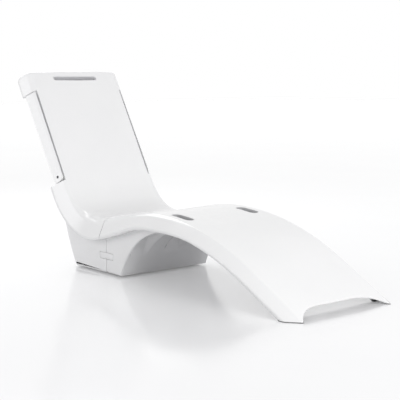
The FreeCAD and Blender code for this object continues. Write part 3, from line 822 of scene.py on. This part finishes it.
def gasket_mesh():
    edge = seam_line(seam_x)

    def gasket_x(row):
        return seam_x + seam_gap * (1.6 * row - 0.8)

    def place(column, row):
        across, depth = shell_section(edge[column])[column]
        full = shell_depth(edge[column])
        depth = gasket_inset + depth * (1 - 2 * gasket_inset / full)
        point = shell_point(edge[column], across * (1 - gasket_inset / rim_half), depth)
        point.x = gasket_x(row)
        return point

    sheet = grid_mesh(columns, 1, place)
    for side in (1, -1):
        def leg_place(column, row, side=side):
            across = side * (base_half - cover_size[2] - 0.001)
            return Vector((gasket_x(row), across, gasket_foot + gasket_leg * column / leg_rows))

        join(sheet, grid_mesh(leg_rows, 1, leg_place), side > 0)
    return sheet


gasket = new_piece("seam_gasket_strip", gasket_mesh(), grey_rubber)
moulded_wall(gasket, 0.002, 0.0003, 1)
settle(gasket)
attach(gasket, "lounger")
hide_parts("seam_gasket")

# Slot sleeve: a grey moulded sleeve lines the head slot. Its front and rear lips are
# rolled over the edge of the shell and of the back cover.


def insert_finish(name, dark, light):
    """Grey moulded insert with a fine spark texture, rubbed smoother in places."""
    material, tree, shader = new_finish(name, 12.0, 4.0, dark, light)
    vary_gloss(tree, noise(tree, 18.0, 3.0), shader, 0.32, 0.5, 0.3, 0.7)
    emboss(tree, noise(tree, 1400.0, 2.0), shader, 0.25, 0.00015)
    return material


grey_insert = insert_finish("grey_insert", (0.74, 0.74, 0.755), (0.80, 0.80, 0.815))
panel_gap = 0.0004
cover_skin = 0.005
slot_rear = shell_depth(slot_along) + panel_gap + cover_skin
sleeve_rows = [(0, 0.0006), (0.0002, 0.0002), (0.0010, 0), (0.0024, 0.0004), (0.0034, 0.0013),
               (0.0040, 0.0030), (0.0042, 0.0060), (0.0042, 0.0250),
               (0.0042, slot_rear - 0.0060), (0.0040, slot_rear - 0.0030),
               (0.0034, slot_rear - 0.0013), (0.0024, slot_rear - 0.0004), (0.0007, slot_rear),
               (0.0002, slot_rear - 0.0002), (0, slot_rear - 0.0006)]
front_lip_rows = 7
ring_steps = 96


def dished(along, across):
    """How far the dish sinks the top at a place."""
    return dish_depth(along) * (1 - min(abs(across) / flat_half, 1) ** 2) ** 2


def sleeve_place(column, row):
    inset, depth = sleeve_rows[row]
    outline = oblong_outline(slot_outer[0] - inset, slot_outer[1] - inset, ring_steps)
    across, down = outline[column % ring_steps]
    sunk = dished(slot_along, across) if row < front_lip_rows else 0
    return frame_matrix(slot_along) @ Vector((down, across, -depth - sunk))


sleeve_sheet = grid_mesh(ring_steps, len(sleeve_rows) - 1, sleeve_place)
sleeve = new_piece("slot_sleeve", sleeve_sheet, grey_insert)
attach(sleeve, "lounger")
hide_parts("slot_liner")

# Grip cups: two cups let into the shell behind the knees, each with a rolled lip that
# lies flush with the shell. Their dark grey is painted shade standing in for the depth of the pockets.

cup_rows = [(0, 0.0006), (0.0002, 0.0001), (0.0010, 0), (0.0022, 0.0005), (0.0034, 0.0018),
            (0.0044, 0.0040), (0.0054, 0.0075), (0.0066, 0.0130), (0.0086, 0.0180), (0.0116, 0.0213),
            (0.0150, 0.0228), (0.0190, 0.0233)]
cup_floor_margin = 0.015

# The cups' dark grey colour is painted shade for the shadowed inside of the pockets.
painted_shade_insert = insert_finish("painted_shade_insert", (0.34, 0.34, 0.35), (0.39, 0.39, 0.40))


def turn_faces(sheet, up):
    """Makes a sheet's faces agree and look up on the whole, or down."""
    bmesh.ops.recalc_face_normals(sheet, faces=sheet.faces)
    sheet.normal_update()
    if (sum(f.normal.z * f.calc_area() for f in sheet.faces) > 0) != up:
        bmesh.ops.reverse_faces(sheet, faces=sheet.faces)


for side, node in ((1, "grip_cup_left"), (-1, "grip_cup_right")):
    def cup_place(column, row, side=side):
        inset, depth = cup_rows[row]
        outline = oblong_outline(grip_half_length - inset, grip_half_width - inset, ring_steps)
        lengthwise, across = outline[column % ring_steps]
        across += side * grip_half_spacing
        along = grip_along + lengthwise
        return shell_point(along, across, depth + dished(along, across))

    cup_sheet = grid_mesh(ring_steps, len(cup_rows) - 1, cup_place)
    cup_middle = Vector((side_line(grip_along)[0], side * grip_half_spacing))
    floor_loop = []
    for edge in cup_sheet.edges:
        reach = (edge.verts[0].co + edge.verts[1].co).xy / 2 - cup_middle
        if (edge.is_boundary and abs(reach.x) < grip_half_length - cup_floor_margin
                and abs(reach.y) < grip_half_width - cup_floor_margin):
            floor_loop.append(edge)
    bmesh.ops.contextual_create(cup_sheet, geom=floor_loop)
    turn_faces(cup_sheet, True)
    cup = new_piece(node + "_moulding", cup_sheet, painted_shade_insert)
    settle(cup, math.radians(60))
    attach(cup, "lounger")
    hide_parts(node)

# Armrests: two solid white bars folded into the notches of the backrest. Each is a wedge
# with softened edges and a round lower end about its hinge.

arm_top = 0.121
arm_foot = 0.610
arm_inner = 0.258
arm_top_depth = 0.057
arm_foot_depth = 0.047
pivot_rise = 0.025
pivot_along = arm_foot - pivot_rise
pivot_depth = 0.0256
bush_radius = 0.007
arm_skin_steps, arm_side_steps = 20, 4
arm_columns = arm_skin_steps + 2 * arm_side_steps
arm_rows, arm_end_rows = 24, 12
white_arm = gelcoat_finish("white_arm", (0.90, 0.90, 0.905), (0.875, 0.875, 0.883), 0.20, 0.32, 0.2)


def arm_section(along):
    """Closed section of the bar: up its inner side, over the shell's own skin, back behind."""
    past = max(along - pivot_along, 0)
    front = pivot_depth - math.sqrt(max(pivot_rise ** 2 - past ** 2, 0)) if past else 0
    rear = arm_top_depth + (arm_foot_depth - arm_top_depth) * (along - arm_top) / (arm_foot - arm_top)
    skin = []
    half = shell_section(along)[columns // 2:]
    for a, b in zip(half, half[1:]):
        if not skin and b.x > arm_inner:
            skin.append(a.lerp(b, (arm_inner - a.x) / (b.x - a.x)))
        if skin and b.y >= rear:
            skin.append(a.lerp(b, (rear - a.y) / (b.y - a.y)))
            break
        if skin:
            skin.append(b.copy())
    if skin[0].y < front:
        kept = [point for point in skin if point.y > front]
        before = skin[len(skin) - len(kept) - 1]
        crossing = before.lerp(kept[0], (front - before.y) / (kept[0].y - before.y))
        skin = [Vector((arm_inner, front)), crossing] + kept
    lengths = [0]
    for a, b in zip(skin, skin[1:]):
        lengths.append(lengths[-1] + (b - a).length)
    outer = []
    for k in range(arm_skin_steps + 1):
        reach = lengths[-1] * k / arm_skin_steps
        spot = max(i for i in range(len(skin) - 1) if lengths[i] <= reach + 0.0000001)
        span = lengths[spot + 1] - lengths[spot]
        outer.append(skin[spot].lerp(skin[spot + 1], (reach - lengths[spot]) / span))
    low = Vector((arm_inner, rear))
    shares = [k / arm_side_steps for k in range(arm_side_steps)]
    return ([low.lerp(outer[0], share) for share in shares] + outer[:-1]
            + [outer[-1].lerp(low, share) for share in shares])


def armrest_mesh(side):
    rows = [arm_top] + spread(arm_top, pivot_along, arm_rows)
    rows += [pivot_along + pivot_rise * math.sin(turn) for turn in spread(0, math.pi / 2, arm_end_rows)]
    loops = [arm_section(along) for along in rows]

    def place(column, row):
        across, depth = loops[row][column % arm_columns]
        return Vector((rows[row], side * across, -depth))

    sheet = grid_mesh(arm_columns, len(rows) - 1, place)
    bmesh.ops.holes_fill(sheet, edges=[e for e in sheet.edges if e.is_boundary], sides=0)
    bmesh.ops.transform(sheet, matrix=frame_matrix(0), verts=sheet.verts)
    bmesh.ops.recalc_face_normals(sheet, faces=sheet.faces)
    return sheet


def turned(profile, steps):
    """Solid of revolution about Z from a line of (radius, height) points."""
    sheet = bmesh.new()
    line = [sheet.verts.new((radius, 0, height)) for radius, height in profile]
    edges = [sheet.edges.new(ends) for ends in zip(line, line[1:])]
    bmesh.ops.spin(sheet, geom=line + edges, cent=(0, 0, 0), axis=(0, 0, 1), angle=2 * math.pi,
                   steps=steps, use_merge=True)
    bmesh.ops.remove_doubles(sheet, verts=sheet.verts, dist=0.000001)
    bmesh.ops.recalc_face_normals(sheet, faces=sheet.faces)
    return sheet


hinge_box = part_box("hinge_pin_left")
hinge_x = (hinge_box[0].x + hinge_box[1].x) / 2
hinge_z = (hinge_box[0].z + hinge_box[1].z) / 2


def hinge_place(side, across):
    """Frame at a side's hinge, Z pointing out sideways from a distance across."""
    return (Matrix.Translation((hinge_x, side * across, hinge_z))
            @ Matrix.Rotation(-side * math.pi / 2, 4, "X"))


for side, word in ((1, "left"), (-1, "right")):
    armrest = new_piece("armrest_" + word + "_bar", armrest_mesh(side), white_arm)
    soften(armrest, 0.003, 4)
    settle(armrest, math.radians(30))
    bore = turned([(0, 0), (bush_radius, 0), (bush_radius, 0.1), (0, 0.1)], 48)
    bmesh.ops.transform(bore, matrix=hinge_place(side, 0.25), verts=bore.verts)
    cut_away(armrest, bore)
    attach(armrest, word + "_arm")
    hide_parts("armrest_" + word)

# Hinge pins: dark burnished shoulder bolts with a low domed head and a six-sided socket.
# They pass through the arm's bush into a plate behind the notch wall.


def steel_finish(name, light, dark, low, high):
    """Turned and plated steel: fine streaks and a little tarnish."""
    material, tree, shader = new_finish(name, 90.0, 5.0, dark, light, 0.6, 0.3, 0.75)
    vary_gloss(tree, noise(tree, 420.0, 4.0), shader, low, high, 0.3, 0.8)
    emboss(tree, noise(tree, 1600.0, 2.0), shader, 0.12, 0.0001)
    shader.inputs["Metallic"].default_value = 1.0
    return material


burnished_steel = steel_finish("burnished_steel", (0.20, 0.20, 0.21), (0.12, 0.12, 0.13), 0.3, 0.5)
bright_steel = steel_finish("bright_steel", (0.62, 0.62, 0.63), (0.5, 0.5, 0.52), 0.22, 0.42)


def hexed(sheet, radius, above):
    """Pulls a round socket wall out to six flats."""
    for corner in sheet.verts:
        reach = math.hypot(corner.co.x, corner.co.y)
        if abs(reach - radius) < 0.00001 and corner.co.z > above:
            angle = math.atan2(corner.co.y, corner.co.x) % (math.pi / 3) - math.pi / 6
            flat = radius * math.cos(math.pi / 6) / math.cos(angle)
            corner.co.x *= flat / reach
            corner.co.y *= flat / reach


pin_from = hinge_box[0].y
pin_tip = hinge_box[1].y
pin_head = 0.0026
pin_shank, pin_cap, pin_socket = 0.0050, 0.0065, 0.0032
socket_depth = 0.002

for side, word in ((1, "left"), (-1, "right")):
    run = pin_tip - pin_from
    pin = turned([(0, 0), (pin_shank - 0.0004, 0), (pin_shank, 0.0004), (pin_shank, run - pin_head),
                  (pin_cap - 0.0003, run - pin_head), (pin_cap, run - pin_head + 0.0003),
                  (pin_cap, run - 0.0013), (pin_cap - 0.0004, run - 0.0006), (0.0048, run),
                  (pin_socket + 0.0002, run), (pin_socket, run - 0.0003),
                  (pin_socket, run - socket_depth), (0, run - socket_depth)], 48)
    hexed(pin, pin_socket, run - pin_head)
    bmesh.ops.transform(pin, matrix=hinge_place(side, pin_from), verts=pin.verts)
    bolt = new_piece("hinge_pin_" + word + "_bolt", pin, burnished_steel)
    settle(bolt, math.radians(30))
    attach(bolt, "lounger")
    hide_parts("hinge_pin_" + word)

# Back cover: a satin white sheet moulding that closes the back of the shell. It has round
# corners, an opening for the head slot, and is held by ten screws.


def panel_finish():
    """Satin thermoformed sheet with a pebbled grain and light handling marks."""
    material, tree, shader = new_finish("white_panel", 5.0, 4.0, (0.80, 0.80, 0.81),
                                        (0.84, 0.84, 0.85))
    vary_gloss(tree, noise(tree, 30.0, 6.0, 0.65), shader, 0.36, 0.5, 0.3, 0.75)
    emboss(tree, noise(tree, 1100.0, 2.0), shader, 0.18, 0.0002)
    return material


white_panel = panel_finish()
cover_top, cover_foot, cover_half = 0.020, 0.600, 0.216
cover_corner = 0.018
cover_step = 0.012
panel_sheet = bmesh.new()
bmesh.ops.create_grid(panel_sheet, x_segments=1, y_segments=1, size=1)
for corner in panel_sheet.verts:
    corner.co.x = cover_foot if corner.co.x > 0 else cover_top
    corner.co.y *= cover_half
bmesh.ops.bevel(panel_sheet, geom=panel_sheet.verts[:], offset=cover_corner, segments=8, profile=0.5,
                affect="VERTICES", material=-1)
for along in spread(cover_top, cover_foot, round((cover_foot - cover_top) / cover_step))[:-1]:
    whole = panel_sheet.verts[:] + panel_sheet.edges[:] + panel_sheet.faces[:]
    bmesh.ops.bisect_plane(panel_sheet, geom=whole, dist=0.00001, plane_co=(along, 0, 0),
                           plane_no=(1, 0, 0))
for corner in panel_sheet.verts:
    along, across, _ = corner.co
    corner.co = shell_point(along, across, shell_depth(along) + panel_gap + cover_skin)
turn_faces(panel_sheet, False)
back_panel = new_piece("back_panel", panel_sheet, white_panel)
moulded_wall(back_panel, cover_skin, 0.0014)
settle(back_panel)
cut_away(back_panel, oblong_cutter(slot_along, 0, *slot_outer, 0.12, True))
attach(back_panel, "lounger")
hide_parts("back_cover")

# Leg liner: a satin white sheet moulding under the leg rest. Three shallow trays carry on
# the lines of the three hollows in the base and stiffen it.

liner_from = at_crest + 0.090 + 0.0056
liner_to = at_end - 0.060 - 0.118
liner_half = 0.272
liner_skin = 0.004
tray_spans = [(-0.226, -0.153), (-0.045, 0.045), (0.153, 0.226)]
tray_depth = 0.022
tray_margin = 0.040
tray_soft = 0.007


def between(value, low, high, soft):
    return min(smooth_share((value - low) / soft), smooth_share((high - value) / soft))


def close_steps(low, high, edges, wide, soft):
    """Evenly spaced places with extra ones where a tray's edge rises."""
    count = round((high - low) / wide)
    places = {round(low + (high - low) * k / count, 5) for k in range(count + 1)}
    for start, end in edges:
        places |= {round(start + soft * k / 5, 5) for k in range(6)}
        places |= {round(end - soft * k / 5, 5) for k in range(6)}
    return sorted(places)


liner_across = close_steps(-liner_half, liner_half, tray_spans, 0.017, tray_soft)
tray_ends = (liner_from + tray_margin, liner_to - tray_margin)
tray_end_soft = 0.012
liner_along = close_steps(liner_from, liner_to, [tray_ends], 0.013, tray_end_soft)


def liner_place(column, row):
    across, along = liner_across[column], liner_along[row]
    rise = max(between(across, low, high, tray_soft) for low, high in tray_spans)
    rise *= between(along, *tray_ends, tray_end_soft)
    return shell_point(along, across, shell_depth(along) + panel_gap + liner_skin - tray_depth * rise)


liner_sheet = grid_mesh(len(liner_across) - 1, len(liner_along) - 1, liner_place)
liner = new_piece("leg_liner_sheet", liner_sheet, white_panel)
moulded_wall(liner, liner_skin, 0.0012)
settle(liner)
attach(liner, "lounger")
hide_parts("leg_liner")

# Cover and liner screws: pan heads with a six-sided socket, ten in the back cover and ten in
# the leg liner, driven square to the sheet into the shell's lip.

screw_socket = 0.00165


def pan_screw(place, depth, length):
    """Screw with its head out of the underside at (along, across)."""
    head = turned([(0, -length), (0.0021, -length), (0.0025, -length + 0.0006), (0.0025, 0), (0.005, 0),
                   (0.005, 0.0007), (0.0046, 0.0015), (0.0036, 0.0022), (0.0024, 0.0025),
                   (0.0018, 0.0025), (screw_socket, 0.0023), (screw_socket, 0.001), (0, 0.001)], 24)
    hexed(head, screw_socket, 0.0005)
    matrix = (frame_matrix(place[0]) @ Matrix.Translation((0, place[1], -depth))
              @ Matrix.Rotation(math.pi, 4, "X"))
    bmesh.ops.transform(head, matrix=matrix, verts=head.verts)
    return head


def screw_set(name, node, places, depth_below, length):
    sheet = bmesh.new()
    for place in places:
        join(sheet, pan_screw(place, shell_depth(place[0]) + depth_below, length))
    screws = new_piece(name, sheet, bright_steel)
    settle(screws, math.radians(30))
    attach(screws, "lounger")
    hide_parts(node)


cover_places = [(cover_top + (cover_foot - cover_top) * share, side * 0.208)
                for share in (0.06, 0.27, 0.5, 0.73, 0.97) for side in (1, -1)]
screw_set("cover_screw_set", "cover_screws", cover_places, panel_gap + cover_skin, 0.011)
liner_places = [(liner_from + (liner_to - liner_from) * share, side * 0.253)
                for share in (0.04, 0.27, 0.5, 0.73, 0.96) for side in (1, -1)]
screw_set("liner_screw_set", "liner_screws", liner_places, panel_gap + liner_skin, 0.0105)

# Base feet: four ribbed rubber discs screwed up into the pans, the only parts of the base
# that touch the floor.

for number in range(1, 5):
    node = f"base_foot_{number}"
    low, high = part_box(node)
    reach = (high.x - low.x) / 2
    tall = high.z - low.z
    foot_sheet = turned([(0.0052, 0.0006), (0.0058, 0), (reach - 0.0034, 0), (reach - 0.0025, 0.0006),
                         (reach - 0.0012, 0.0024), (reach - 0.0018, 0.0030), (reach - 0.0008, 0.0038),
                         (reach, tall - 0.0016), (reach - 0.0003, tall - 0.0004), (reach - 0.0012, tall),
                         (0.0060, tall), (0.0052, tall - 0.0008), (0.0052, 0.0006)], 64)
    middle = (low + high) / 2
    bmesh.ops.translate(foot_sheet, verts=foot_sheet.verts, vec=(middle.x, middle.y, low.z))
    foot = new_piece(node + "_disc", foot_sheet, grey_rubber)
    settle(foot, math.radians(35))
    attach(foot, "lounger")
    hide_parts(node)

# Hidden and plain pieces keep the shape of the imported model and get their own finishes:
# pans, bulkheads, rubber stops, plastic bushes and the steel fastenings.


def laminate_finish():
    """Raw glass laminate: yellowish resin with a coarse crossed weave."""
    material, tree, shader = new_finish("raw_laminate", 25.0, 5.0, (0.52, 0.50, 0.42),
                                        (0.66, 0.63, 0.54), 0.6)
    coordinates = tree.nodes.new("ShaderNodeTexCoord")
    weave = None
    for direction in ("Y", "Z"):
        wave = tree.nodes.new("ShaderNodeTexWave")
        wave.bands_direction = direction
        wave.inputs["Scale"].default_value = 60.0
        wave.inputs["Distortion"].default_value = 1.5
        tree.links.new(coordinates.outputs["Object"], wave.inputs["Vector"])
        weave = emboss(tree, wave, shader, 0.4, 0.0005, weave)
    shader.inputs["Roughness"].default_value = 0.55
    return material


def acetal_finish():
    """Off-white machined plastic with faint tool marks."""
    material, tree, shader = new_finish("acetal", 70.0, 4.0, (0.74, 0.73, 0.70), (0.82, 0.81, 0.78))
    emboss(tree, noise(tree, 2200.0, 2.0), shader, 0.2, 0.0001)
    shader.inputs["Roughness"].default_value = 0.38
    return material


raw_laminate = laminate_finish()
acetal = acetal_finish()
finishes = [
    (white_panel, ["rear_pan", "front_pan"]),
    (raw_laminate, ["rear_bulkhead", "front_bulkhead"]),
    (grey_rubber, ["leg_glide_left", "leg_glide_right", "arm_stop_left", "arm_stop_right",
                   "rest_peg_left", "rest_peg_right"]),
    (acetal, ["arm_bush_left", "arm_bush_right", "thrust_washer_left", "thrust_washer_right"]),
    (bright_steel, ["seam_bolts", "seam_nuts", "rim_screws", "pan_screws", "foot_screws", "tie_screws",
                    "hinge_screws", "hinge_nut_left", "hinge_nut_right", "hinge_plate_left",
                    "hinge_plate_right", "tie_plate_left", "tie_plate_right"]),
]
for material, names in finishes:
    for name in names:
        nodes[name].material_slots[0].material = material

# Floor, light and camera: a pale floor that fades to white, a soft even studio light and
# the photograph's three-quarter view.

camera_glow = 0.18
world_level = 0.64


def combined(tree, operation, first, second):
    """Output of a maths node on a socket and a second socket or a number."""
    node = tree.nodes.new("ShaderNodeMath")
    node.operation = operation
    tree.links.new(first, node.inputs[0])
    if isinstance(second, float):
        node.inputs[1].default_value = second
    else:
        tree.links.new(second, node.inputs[1])
    return node.outputs["Value"]


floor_sheet = bmesh.new()
bmesh.ops.create_grid(floor_sheet, x_segments=1, y_segments=1, size=30)
floor_material, tree, shader = new_finish("studio_floor", 1.2, 3.0, (0.74, 0.74, 0.755),
                                          (0.76, 0.76, 0.77))
shader.inputs["Roughness"].default_value = 0.15
shader.inputs["IOR"].default_value = 2.0
rays = tree.nodes.new("ShaderNodeLightPath").outputs
glow = combined(tree, "MULTIPLY", rays["Is Camera Ray"], camera_glow)
shader.inputs["Emission Color"].default_value = (1, 1, 1, 1)
tree.links.new(glow, shader.inputs["Emission Strength"])
floor = new_piece("studio_floor", floor_sheet, floor_material)

world = bpy.data.worlds.new("studio")
bpy.context.scene.world = world
world.use_nodes = True
tree = world.node_tree
background = tree.nodes["Background"]
background.inputs["Color"].default_value = (1, 1, 1, 1)
rays = tree.nodes.new("ShaderNodeLightPath").outputs
seen = combined(tree, "MAXIMUM", rays["Is Camera Ray"], rays["Is Transmission Ray"])
seen = combined(tree, "MAXIMUM", seen, rays["Is Glossy Ray"])
level = tree.nodes.new("ShaderNodeMapRange")
level.inputs["To Min"].default_value = world_level
level.inputs["To Max"].default_value = 1.0
tree.links.new(seen, level.inputs["Value"])
tree.links.new(level.outputs["Result"], background.inputs["Strength"])


def soft_light(name, place, target, size, power):
    data = bpy.data.lights.new(name, "AREA")
    data.shape = "RECTANGLE"
    data.size, data.size_y = size
    data.energy = power
    light = bpy.data.objects.new(name, data)
    light.location = place
    light.rotation_euler = (Vector(target) - Vector(place)).to_track_quat("-Z", "Y").to_euler()
    bpy.context.scene.collection.objects.link(light)


soft_light("side", (-1.8, -3.2, 1.5), (-0.4, 0, 0.4), (2.4, 1.6), 20)
soft_light("front", (5.6, -0.2, 1.1), (0, 0, 0.5), (2.4, 1.4), 140)
soft_light("back", (-2.6, 0.4, 2.6), (0, 0, 0.3), (2.4, 1.6), 31)

view = bpy.data.cameras.new("photo_view")
view.sensor_width = 36
view.lens = 91.34
camera = bpy.data.objects.new("photo_view", view)
azimuth, pitch, roll = math.radians(50.131), math.radians(6.8), math.radians(-0.146)
camera.location = (crest_x + 3.47368, -2.88583, 0.89618)
camera.rotation_euler = (Matrix.Rotation(azimuth, 3, "Z") @ Matrix.Rotation(math.pi / 2 - pitch, 3, "X")
                         @ Matrix.Rotation(roll, 3, "Z")).to_euler()
bpy.context.scene.collection.objects.link(camera)
bpy.context.scene.camera = camera
bpy.context.scene.view_settings.view_transform = "Standard"
